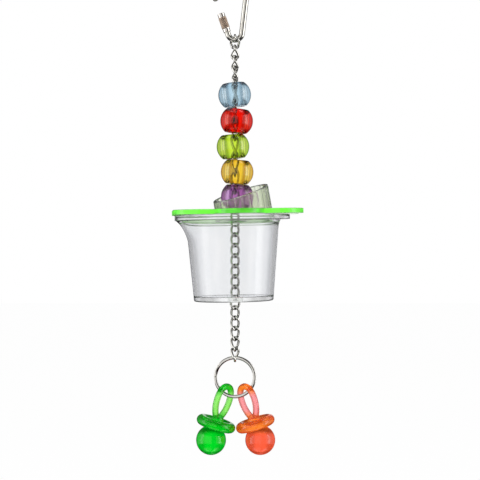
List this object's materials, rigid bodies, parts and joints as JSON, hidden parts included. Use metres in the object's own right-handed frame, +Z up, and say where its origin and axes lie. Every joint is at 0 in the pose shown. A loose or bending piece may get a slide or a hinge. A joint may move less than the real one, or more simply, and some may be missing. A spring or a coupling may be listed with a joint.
{
  "type": "foraging bird toy",
  "caption": "Hanging foraging toy for a bird: a quick link, a twist-link chain through see-through beads, a flower lid on a clear cup, and a split ring with small plastic pacifiers.",
  "frame": {"origin": "the hanging point, on the inside of the pear link's top bend, straight above the chain", "axes": "+Z up along the hanging chain, +X to the viewer's right in the plane of the pear link and the split ring, the viewer of the front at -Y"},
  "size_m": [0.079, 0.0846, 0.3011],
  "materials": {
    "pear_link": "polished nickel plate",
    "lock_sleeve": "warm nickel plate, knurled",
    "hook_chain": "bright nickel plate",
    "core_chain": "bright nickel plate",
    "tail_chain": "bright nickel plate",
    "end_chain": "bright nickel plate",
    "blue_bead": "frosted, see-through",
    "red_bead": "clear, see-through",
    "lime_bead": "clear, see-through",
    "amber_bead": "clear, see-through",
    "purple_bead": "clear, see-through",
    "slant_ring": "milky, ribbed",
    "flower_lid": "fluorescent acrylic",
    "clear_cup": "clear, glossy",
    "split_ring": "bright nickel plate",
    "green_pacifier": "glossy, slightly see-through",
    "orange_pacifier": "glossy, slightly see-through"
  },
  "bodies": {
    "pear_link": {"pear_link": "pear_link"},
    "lock_sleeve": {"lock_sleeve": "lock_sleeve"},
    "hook_chain": {"hook_chain": "hook_chain"},
    "core_chain": {"core_chain": "core_chain"},
    "lid": {"flower_lid": "flower_lid", "slant_ring": "slant_ring"},
    "blue_bead": {"blue_bead": "blue_bead"},
    "red_bead": {"red_bead": "red_bead"},
    "lime_bead": {"lime_bead": "lime_bead"},
    "amber_bead": {"amber_bead": "amber_bead"},
    "purple_bead": {"purple_bead": "purple_bead"},
    "clear_cup": {"clear_cup": "clear_cup"},
    "tail_chain": {"tail_chain": "tail_chain"},
    "end_chain": {"end_chain": "end_chain"},
    "split_ring": {"split_ring": "split_ring"},
    "green_pacifier": {"green_pacifier": "green_pacifier"},
    "orange_pacifier": {"orange_pacifier": "orange_pacifier"}
  },
  "joints": [
    {"name": "sleeve_slide", "type": "slide", "parent": "pear_link", "child": "lock_sleeve", "axis": [-0.3339, 0, 0.9426], "range_m": [0, 0.0096]},
    {"name": "hook_swing", "type": "hinge", "parent": "pear_link", "child": "hook_chain", "pos_m": [0, 0, -0.04795], "axis": [1, 0, 0], "range_deg": [-30, 30]},
    {"name": "chain_swing", "type": "hinge", "parent": "hook_chain", "child": "core_chain", "pos_m": [0, 0, -0.05144], "axis": [0, 1, 0], "range_deg": [-30, 30]},
    {"name": "lid_lift", "type": "slide", "parent": "core_chain", "child": "lid", "axis": [0, 0, 1], "range_m": [0, 0.02]},
    {"name": "blue_spin", "type": "hinge", "parent": "lid", "child": "blue_bead", "pos_m": [-0.0002, 0, -0.08104], "axis": [-0.1045, 0, 0.9945], "continuous": true},
    {"name": "red_spin", "type": "hinge", "parent": "lid", "child": "red_bead", "pos_m": [0.001, 0, -0.09669], "axis": [0.1045, 0, 0.9945], "continuous": true},
    {"name": "lime_spin", "type": "hinge", "parent": "lid", "child": "lime_bead", "pos_m": [-0.0012, 0, -0.11209], "axis": [-0.0785, 0, 0.9969], "continuous": true},
    {"name": "amber_spin", "type": "hinge", "parent": "lid", "child": "amber_bead", "pos_m": [0.0013, 0, -0.12731], "axis": [0.0698, 0, 0.9976], "continuous": true},
    {"name": "purple_spin", "type": "hinge", "parent": "lid", "child": "purple_bead", "pos_m": [0.0014, 0, -0.14204], "axis": [0.0349, 0, 0.9994], "continuous": true},
    {"name": "cup_turn", "type": "hinge", "parent": "core_chain", "child": "clear_cup", "pos_m": [0, 0, -0.2046], "axis": [-0.0175, 0, 0.9998], "continuous": true},
    {"name": "tail_swing", "type": "hinge", "parent": "core_chain", "child": "tail_chain", "pos_m": [0, 0, -0.20857], "axis": [1, 0, 0], "range_deg": [-20, 20]},
    {"name": "end_swing", "type": "hinge", "parent": "tail_chain", "child": "end_chain", "pos_m": [0, 0, -0.2282], "axis": [0, 1, 0], "range_deg": [-20, 20]},
    {"name": "ring_swing", "type": "hinge", "parent": "end_chain", "child": "split_ring", "pos_m": [0, 0, -0.23864], "axis": [1, 0, 0], "range_deg": [-50, 50]},
    {"name": "green_swing", "type": "hinge", "parent": "split_ring", "child": "green_pacifier", "pos_m": [-0.0063, 0, -0.2602], "axis": [0.8425, 0, -0.5387], "range_deg": [-25, 25]},
    {"name": "orange_swing", "type": "hinge", "parent": "split_ring", "child": "orange_pacifier", "pos_m": [0.00692, 0, -0.25978], "axis": [-0.8063, 0, -0.5915], "range_deg": [-25, 25]}
  ]
}
